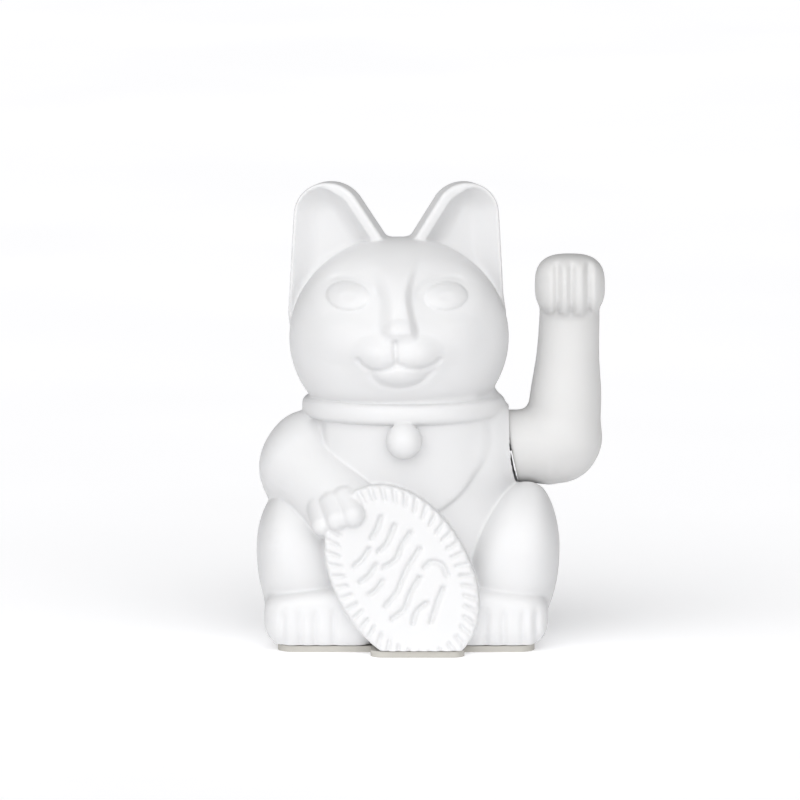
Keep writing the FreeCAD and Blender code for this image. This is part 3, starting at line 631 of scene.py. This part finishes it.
def mesh_object(name, vertices, faces):
    """A Blender object from points in millimetres and faces of one number of sides."""
    mesh = bpy.data.meshes.new(name)
    sides = faces.shape[1]
    mesh.vertices.add(len(vertices))
    mesh.vertices.foreach_set("co", (vertices * MM).astype(np.float32).ravel())
    mesh.loops.add(faces.size)
    mesh.loops.foreach_set("vertex_index", faces.astype(np.int32).ravel())
    mesh.polygons.add(len(faces))
    mesh.polygons.foreach_set("loop_start", np.arange(0, faces.size, sides, dtype=np.int32))
    mesh.update(calc_edges=True)
    made = bpy.data.objects.new(name, mesh)
    bpy.context.scene.collection.objects.link(made)
    return made


def cutter_box(low, high, cuts=0):
    """A box to cut with. The cuts divide its sides, which keeps the faces that it leaves small."""
    mesh = bmesh.new()
    bmesh.ops.create_cube(mesh, size=1.0)
    if cuts:
        bmesh.ops.subdivide_edges(mesh, edges=mesh.edges, cuts=cuts, use_grid_fill=True)
    size, middle = np.subtract(high, low), np.add(high, low) / 2
    bmesh.ops.scale(mesh, vec=Vector(size * MM), verts=mesh.verts)
    bmesh.ops.translate(mesh, vec=Vector(middle * MM), verts=mesh.verts)
    return from_bmesh("cutter", mesh)


def cutter_rod(start, end, radius):
    start, end = Vector(start), Vector(end)
    mesh = bmesh.new()
    turn = (end - start).to_track_quat("Z", "Y").to_matrix().to_4x4()
    bmesh.ops.create_cone(
        mesh,
        cap_ends=True,
        segments=48,
        radius1=radius * MM,
        radius2=radius * MM,
        depth=(end - start).length * MM,
        matrix=Matrix.Translation((start + end) / 2 * MM) @ turn,
    )
    return from_bmesh("cutter", mesh)


def from_bmesh(name, source):
    mesh = bpy.data.meshes.new(name)
    source.to_mesh(mesh)
    source.free()
    made = bpy.data.objects.new(name, mesh)
    bpy.context.scene.collection.objects.link(made)
    return made


def combine(target, tool, operation, keep_tool=False):
    """target with tool taken away, added or kept in common, applied to its mesh."""
    change = target.modifiers.new("combine", "BOOLEAN")
    change.operation = operation
    change.solver = "MANIFOLD"
    change.object = tool
    graph = bpy.context.evaluated_depsgraph_get()
    result = bpy.data.meshes.new_from_object(target.evaluated_get(graph))
    old = target.data
    target.modifiers.clear()
    target.data = result
    bpy.data.meshes.remove(old)
    if not keep_tool:
        bpy.data.objects.remove(tool)
    return target


SIDE = 160.0  # of the boxes that part the shells, from the middle
SEAM_CUTS = 60


def halves(shell, front_name, rear_name):
    """The shell split on the parting plane."""
    front = shell
    rear = shell.copy()
    rear.data = shell.data.copy()
    bpy.context.scene.collection.objects.link(rear)
    low, high = (-SIDE, -SIDE, -SIDE), (SIDE, SIDE, SIDE)
    combine(front, cutter_box(low, (SIDE, -SEAM_GAP, SIDE), SEAM_CUTS), "INTERSECT")
    combine(rear, cutter_box((-SIDE, SEAM_GAP, -SIDE), high, SEAM_CUTS), "INTERSECT")
    front.name, rear.name = front_name, rear_name
    return front, rear


def dress(piece, node, body_name, material):
    """Smooth shading, material, body and slot for a piece that stands for a CAD node."""
    mesh = piece.data
    mesh.name = piece.name
    mesh.materials.clear()
    mesh.materials.append(material)
    work = bmesh.new()
    work.from_mesh(mesh)
    for face in work.faces:
        face.smooth = True
    for edge in work.edges:
        edge.smooth = len(edge.link_faces) != 2 or edge.calc_face_angle() < math.radians(50)
    work.to_mesh(mesh)
    work.free()
    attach(piece, body_name)
    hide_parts(node)


# --- Materials ---------------------------------------------------------------------------------


def new_material(name):
    material = bpy.data.materials.new(name)
    material.use_nodes = True
    nodes = material.node_tree.nodes
    return material, nodes, material.node_tree.links, nodes["Principled BSDF"]


def noise(nodes, links, scale, detail=3.0, stretch=(1, 1, 1)):
    """Noise in the object's own millimetres."""
    place = nodes.new("ShaderNodeTexCoord")
    mapping = nodes.new("ShaderNodeMapping")
    mapping.inputs["Scale"].default_value = [s / MM for s in stretch]
    links.new(place.outputs["Object"], mapping.inputs["Vector"])
    texture = nodes.new("ShaderNodeTexNoise")
    texture.inputs["Scale"].default_value = scale
    texture.inputs["Detail"].default_value = detail
    links.new(mapping.outputs["Vector"], texture.inputs["Vector"])
    return texture.outputs["Fac"]


def ramp(nodes, links, value, low_colour, high_colour, low=0.35, high=0.65):
    node = nodes.new("ShaderNodeValToRGB")
    first, second = node.color_ramp.elements
    first.position, second.position = low, high
    first.color, second.color = (*low_colour, 1), (*high_colour, 1)
    links.new(value, node.inputs["Fac"])
    return node.outputs["Color"]


def spread(nodes, links, value, low, high):
    node = nodes.new("ShaderNodeMapRange")
    node.inputs["To Min"].default_value = low
    node.inputs["To Max"].default_value = high
    links.new(value, node.inputs["Value"])
    return node.outputs["Result"]


def bump(nodes, links, value, distance, strength=1.0):
    node = nodes.new("ShaderNodeBump")
    node.inputs["Distance"].default_value = distance * MM
    node.inputs["Strength"].default_value = strength
    links.new(value, node.inputs["Height"])
    return node.outputs["Normal"]


def plastic(name, colour, roughness=0.5, vary=0.015, glow=0.0, grain=0.012, grain_scale=2.2):
    """Moulded plastic: a faint cloudiness, a fine sprayed grain and uneven sheen."""
    material, nodes, links, shader = new_material(name)
    cloud = noise(nodes, links, 0.05, 4.0)
    fine = noise(nodes, links, grain_scale, 2.0)
    darker = [c * (1.0 - vary) for c in colour]
    links.new(ramp(nodes, links, cloud, darker, colour), shader.inputs["Base Color"])
    links.new(
        spread(nodes, links, fine, roughness - 0.05, roughness + 0.05), shader.inputs["Roughness"]
    )
    links.new(bump(nodes, links, fine, grain), shader.inputs["Normal"])
    shader.inputs["Specular IOR Level"].default_value = 0.35
    if glow:
        shader.inputs["Subsurface Weight"].default_value = glow
        shader.inputs["Subsurface Radius"].default_value = (1.0, 0.9, 0.8)
        shader.inputs["Subsurface Scale"].default_value = 1.2 * MM
    return material


def metal(name, colour, roughness, stretch=(1, 1, 1), scale=1.5, grain=0.01):
    """Drawn or plated metal with fine marks along its working direction."""
    material, nodes, links, shader = new_material(name)
    marks = noise(nodes, links, scale, 3.0, stretch)
    darker = [c * 0.8 for c in colour]
    links.new(ramp(nodes, links, marks, darker, colour), shader.inputs["Base Color"])
    links.new(
        spread(nodes, links, marks, roughness - 0.08, roughness + 0.1), shader.inputs["Roughness"]
    )
    links.new(bump(nodes, links, marks, grain), shader.inputs["Normal"])
    shader.inputs["Metallic"].default_value = 1.0
    return material


def banded(name, bands, base, roughness, axis):
    """Printed bands round a part: (from, to, colour) in millimetres along one axis."""
    material, nodes, links, shader = new_material(name)
    place = nodes.new("ShaderNodeTexCoord")
    split = nodes.new("ShaderNodeSeparateXYZ")
    links.new(place.outputs["Object"], split.inputs["Vector"])
    low, high = min(b[0] for b in bands), max(b[1] for b in bands)
    share = nodes.new("ShaderNodeMapRange")
    share.inputs["From Min"].default_value = low * MM
    share.inputs["From Max"].default_value = high * MM
    links.new(split.outputs[axis], share.inputs["Value"])
    colours = nodes.new("ShaderNodeValToRGB")
    colours.color_ramp.interpolation = "CONSTANT"
    stops = colours.color_ramp.elements
    stops[0].color = (*base, 1)
    stops.remove(stops[1])
    for start, end, colour in bands:
        at, after = ((v - low) / (high - low) for v in (start, end))
        stop = stops[0] if at <= 0 else stops.new(at)
        stop.color = (*colour, 1)
        if after < 1:
            stops.new(after).color = (*base, 1)
    links.new(share.outputs["Result"], colours.inputs["Fac"])
    fine = noise(nodes, links, 1.6, 3.0)
    mix = nodes.new("ShaderNodeMix")
    mix.data_type = "RGBA"
    mix.blend_type = "MULTIPLY"
    mix.inputs["Factor"].default_value = 0.12
    links.new(colours.outputs["Color"], mix.inputs[6])
    links.new(ramp(nodes, links, fine, (0.6, 0.6, 0.6), (1, 1, 1)), mix.inputs[7])
    links.new(mix.outputs[2], shader.inputs["Base Color"])
    links.new(
        spread(nodes, links, fine, roughness - 0.06, roughness + 0.06), shader.inputs["Roughness"]
    )
    links.new(bump(nodes, links, fine, 0.01), shader.inputs["Normal"])
    return material


WHITE = (0.66, 0.66, 0.665)
MATERIALS = {
    "body_shell": plastic("white_matt_plastic", WHITE, 0.5, glow=0.15),
    # The arm's white is a little warmer than the body's, as the moulded arm is, and darker than the body's: the
    # darkness is painted shade on the raised arm.
    "arm_shell": plastic("warm_white_plastic_arm_painted_shade", (0.595, 0.592, 0.588), 0.5, glow=0.15),
    "base": plastic("cream_plastic", (0.45, 0.435, 0.4), 0.55, 0.03),
    "mechanism": plastic("natural_plastic", (0.72, 0.72, 0.69), 0.42, 0.04, glow=0.1),
    "bobbin": plastic("black_nylon", (0.02, 0.02, 0.022), 0.45, 0.2),
    "black_part": plastic("black_epoxy", (0.012, 0.012, 0.013), 0.38, 0.3, grain=0.02),
    "board": plastic("paper_laminate", (0.45, 0.3, 0.13), 0.55, 0.15, grain=0.02),
    "lead_red": plastic("red_insulation", (0.42, 0.012, 0.01), 0.4, 0.1),
    "lead_black": plastic("black_insulation", (0.014, 0.014, 0.016), 0.4, 0.2),
    "copper": metal("enamelled_copper", (0.72, 0.28, 0.11), 0.3, (1, 1, 6)),
    "contact": metal("nickel_spring_steel", (0.66, 0.65, 0.62), 0.28, (1, 1, 8)),
    "steel": metal("zinc_plated_steel", (0.58, 0.59, 0.6), 0.34, (3, 1, 1)),
    "weight": metal("plain_steel", (0.32, 0.32, 0.33), 0.5, (1, 6, 1), grain=0.03),
    "magnet": plastic("sintered_ferrite", (0.03, 0.03, 0.033), 0.6, 0.3, grain=0.03),
}
CELL_LOW, CELL_HIGH = box_mm("battery_cell")
CELL_Y = [CELL_LOW[1], CELL_LOW[1] + 1.2, CELL_LOW[1] + 13.0, CELL_HIGH[1] - 0.8, CELL_HIGH[1]]
MATERIALS["cell"] = banded(
    "cell_jacket",
    [
        (CELL_Y[0], CELL_Y[1], (0.6, 0.6, 0.6)),
        (CELL_Y[1], CELL_Y[2], (0.55, 0.36, 0.14)),
        (CELL_Y[3], CELL_Y[4], (0.6, 0.6, 0.6)),
    ],
    (0.03, 0.035, 0.045),
    0.35,
    "Y",
)
RESISTOR_BANDS = [(-2.6, (0.2, 0.05, 0.02)), (-1.2, (0.02, 0.02, 0.02)), (0.0, (0.6, 0.15, 0.02))]
MATERIALS["resistor"] = banded(
    "banded_resistor",
    [(y, y + 0.6, colour) for y, colour in [*RESISTOR_BANDS, (2.1, (0.5, 0.36, 0.08))]],
    (0.62, 0.45, 0.25),
    0.4,
    "Y",
)

for part in frame["record"]["subparts"]:
    node_mesh = frame["nodes"][part["node"]].data
    node_mesh.materials.clear()
    node_mesh.materials.append(MATERIALS[part["material_slot"]])


# --- The four shells ---------------------------------------------------------------------------


def loose_parts(node):
    """The centre of each separate solid in a CAD node, in millimetres."""
    mesh = bmesh.new()
    mesh.from_mesh(frame["nodes"][node].data)
    mesh.verts.ensure_lookup_table()
    bmesh.ops.remove_doubles(mesh, verts=mesh.verts, dist=1e-6)
    seen, centres = set(), []
    for start in mesh.verts:
        if start in seen:
            continue
        island, queue = [], [start]
        seen.add(start)
        while queue:
            vertex = queue.pop()
            island.append(np.array(vertex.co) / MM)
            for edge in vertex.link_edges:
                other = edge.other_vert(vertex)
                if other not in seen:
                    seen.add(other)
                    queue.append(other)
        centres.append((np.min(island, axis=0) + np.max(island, axis=0)) / 2)
    mesh.free()
    return centres


BOSS_R = 3.6
BOSS_FOOT_Z = 3.6
BOSS_TOP_Z = 14.0
RIB_T = 2.0
POST_R = 3.2
SCREW_R = 1.1
BASE_SCREW_TOP_Z = 10.8
BRACKET_SCREW_DEPTH = 7.0
AXLE_HOLE_R = 2.8
BASE_SCREWS = loose_parts("base_screws")
BRACKET_SCREWS = loose_parts("bracket_screws")


def body_room(p):
    """The hollow, less the screw bosses and posts that stand in it."""
    x, y, z = p
    room = body_hollow(p)
    for cx, cy, _ in BASE_SCREWS:
        out = math.copysign(1.0, cx)
        boss = length(x - cx, y - cy) - BOSS_R
        rib = np.maximum(np.abs(y - cy) - RIB_T / 2, (cx - x) * out)
        solid = np.maximum(np.minimum(boss, rib), np.maximum(BOSS_FOOT_Z - z, z - BOSS_TOP_Z))
        room = np.maximum(room, -solid)
    for cx, _, cz in BRACKET_SCREWS:
        post = np.maximum(length(x - cx, z - cz) - POST_R, BRACKET_HIGH[1] - y)
        room = np.maximum(room, -post)
    return room


PAD = 3.0  # round the box that a field is sampled in
BODY_END_X = 56.0  # past the right thigh
body_low = np.array([CAD_BOX[0].x / MM, CAD_BOX[0].y / MM, -PAD]) - PAD
body_high = np.array([BODY_END_X, CAD_BOX[1].y / MM, CAD_BOX[1].z / MM]) + PAD
shell = mesh_object("cat_shell", *sculpt(body, body_low, body_high, VOXEL))
room = mesh_object("room", *sculpt(body_room, body_low, body_high, HOLLOW_VOXEL))
combine(shell, room, "DIFFERENCE")
combine(shell, cutter_box((-FAR, -FAR, -FAR), (FAR, FAR, FLOOR_EDGE_Z + REVEAL)), "DIFFERENCE")
combine(shell, cutter_rod((AXLE_START_X, 0, AXLE_Z), (FAR, 0, AXLE_Z), AXLE_HOLE_R), "DIFFERENCE")
for cx, cy, _ in BASE_SCREWS:
    combine(shell, cutter_rod((cx, cy, 0), (cx, cy, BASE_SCREW_TOP_Z), SCREW_R), "DIFFERENCE")
for cx, cy, cz in BRACKET_SCREWS:
    start = (cx, BRACKET_LOW[1], cz)
    combine(shell, cutter_rod(start, np.add(start, (0, BRACKET_SCREW_DEPTH, 0)), SCREW_R), "DIFFERENCE")
cat_front, cat_rear = halves(shell, "cat_front_shell", "cat_rear_shell")
dress(cat_front, "front_shell", "cat_body", MATERIALS["body_shell"])
dress(cat_rear, "rear_shell", "cat_body", MATERIALS["body_shell"])

HUB_R = 4.6
SEAT_WALL = 2.0
SEAT_X = (CUT_X + 1.5, CUT_X + 7.0)  # the hub's seat inside the arm
arm_low = np.array([CUT_X - 8.0, ARM_LOW[1], ARM_LOW[2]]) - PAD
arm_high = np.array([ARM_HIGH[0], -ARM_LOW[1], ARM_HIGH[2]]) + PAD
arm = mesh_object("arm_shell", *sculpt(arm_outside, arm_low, arm_high, VOXEL))
arm_room = mesh_object("arm_room", *sculpt(arm_hollow, arm_low, arm_high, HOLLOW_VOXEL * 0.75))
combine(arm, arm_room, "DIFFERENCE")
seat = cutter_rod((SEAT_X[0], 0, AXLE_Z), (SEAT_X[1], 0, AXLE_Z), HUB_R + SEAT_WALL)
combine(arm, seat, "UNION")
combine(arm, cutter_rod((0, 0, AXLE_Z), (SEAT_X[1] + 0.01, 0, AXLE_Z), HUB_R), "DIFFERENCE")
arm_front, arm_rear = halves(arm, "waving_arm_front", "waving_arm_rear")
dress(arm_front, "arm_front_shell", "beckoning_arm", MATERIALS["arm_shell"])
dress(arm_rear, "arm_rear_shell", "beckoning_arm", MATERIALS["arm_shell"])


# --- Floor, light and camera -------------------------------------------------------------------


FLOOR_HALF = 4.0  # metres
FLOOR_GLOW = 0.3
FLOOR_DROP = 0.05  # under the base plate, so that their faces don't share a plane


def stage_floor():
    mesh = bmesh.new()
    bmesh.ops.create_grid(mesh, x_segments=1, y_segments=1, size=FLOOR_HALF)
    floor = from_bmesh("floor", mesh)
    material, nodes, links, shader = new_material("pale_floor")
    cloud = noise(nodes, links, 0.004, 2.0)
    colour = ramp(nodes, links, cloud, (0.9, 0.9, 0.91), (0.92, 0.92, 0.93))
    links.new(colour, shader.inputs["Base Color"])
    links.new(colour, shader.inputs["Emission Color"])
    shader.inputs["Emission Strength"].default_value = FLOOR_GLOW
    shader.inputs["Roughness"].default_value = 0.9
    shader.inputs["Specular IOR Level"].default_value = 0.0
    floor.data.materials.append(material)
    floor.location.z = -FLOOR_DROP * MM


def world_light(towards, start, far_side, near_side):
    """A dome that is brightest in one direction and falls off to the cosine start from it."""
    world = bpy.data.worlds.new("studio")
    world.use_nodes = True
    nodes, links = world.node_tree.nodes, world.node_tree.links
    place = nodes.new("ShaderNodeTexCoord")
    facing = nodes.new("ShaderNodeVectorMath")
    facing.operation = "DOT_PRODUCT"
    facing.inputs[1].default_value = Vector(towards).normalized()
    links.new(place.outputs["Generated"], facing.inputs[0])
    strength = nodes.new("ShaderNodeMapRange")
    strength.interpolation_type = "SMOOTHSTEP"
    strength.inputs["From Min"].default_value = start
    strength.inputs["To Min"].default_value = far_side
    strength.inputs["To Max"].default_value = near_side
    links.new(facing.outputs["Value"], strength.inputs["Value"])
    background = nodes["Background"]
    background.inputs["Color"].default_value = (1, 1, 1, 1)
    links.new(strength.outputs["Result"], background.inputs["Strength"])
    bpy.context.scene.world = world


VIEW_ELEVATION = math.radians(8.0)
VIEW_DISTANCE = 2.2
VIEW_WIDTH = 0.2616  # what the frame takes in at the object's middle
AIM_X = -0.002
AIM_Z = 0.526 * EAR_TOP_Z * MM


def make_camera():
    data = bpy.data.cameras.new("camera")
    data.sensor_width = 36.0
    data.lens = data.sensor_width * VIEW_DISTANCE / VIEW_WIDTH
    data.clip_start, data.clip_end = 0.05, 50.0
    camera = bpy.data.objects.new("camera", data)
    away = Vector((0.0, -math.cos(VIEW_ELEVATION), math.sin(VIEW_ELEVATION)))
    camera.location = Vector((AIM_X, 0.0, AIM_Z)) + away * VIEW_DISTANCE
    camera.rotation_euler = (-away).to_track_quat("-Z", "Y").to_euler()
    bpy.context.scene.collection.objects.link(camera)
    bpy.context.scene.camera = camera


stage_floor()
world_light((-0.12, -0.9, 0.4), 0.15, 0.1, 2.32)
make_camera()
bpy.context.scene.view_settings.view_transform = "Standard"
